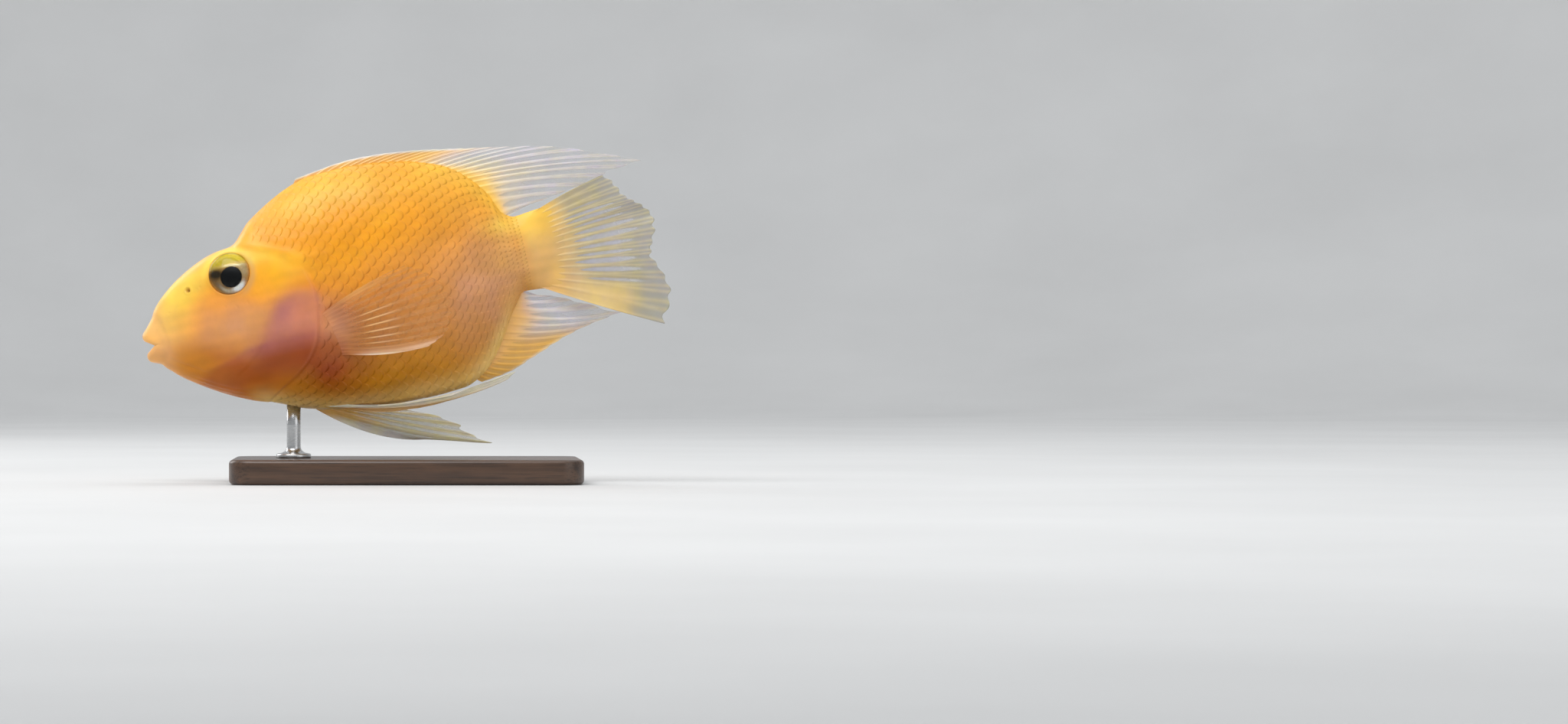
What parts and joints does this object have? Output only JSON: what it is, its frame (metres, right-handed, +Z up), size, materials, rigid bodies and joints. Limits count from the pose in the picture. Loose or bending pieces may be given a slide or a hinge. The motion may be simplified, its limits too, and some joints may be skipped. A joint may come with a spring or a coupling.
{
  "type": "blood parrot cichlid display model",
  "caption": "Life-size still model of a yellow-orange blood parrot cichlid, nose tipped down, tail swung to one side, held over a wooden display base by a steel rod.",
  "frame": {"origin": "middle of the underside of the display stand's base", "axes": "-X the way the fish looks, -Y its left flank, +Z up; the fish's own long axis rises 12.5 degrees towards the tail"},
  "size_m": [0.196, 0.08, 0.1252],
  "materials": {
    "head_skin": "moist fish skin, bright yellow over the eyes, orange on the cheek and throat",
    "body_skin": "moist fish skin, yellow-orange back, peach hind flank, olive-ochre belly",
    "fin_skin": "thin clear skin between cream rays, yellow at the root",
    "eye": "clear cornea over a silver-grey iris and a black pupil",
    "stand_wood": "dark stained hardwood, satin varnish",
    "stand_steel": "satin"
  },
  "bodies": {
    "root": {"head": "head_skin", "trunk": "body_skin", "tail_stem": "body_skin", "eye_left": "eye", "eye_right": "eye", "dorsal_fin": "fin_skin", "caudal_fin": "fin_skin", "anal_fin": "fin_skin", "pectoral_fin_left": "fin_skin", "pectoral_fin_right": "fin_skin", "pelvic_fin_left": "fin_skin", "pelvic_fin_right": "fin_skin", "stand_base": "stand_wood", "stand_rod": "stand_steel"}
  },
  "joints": []
}
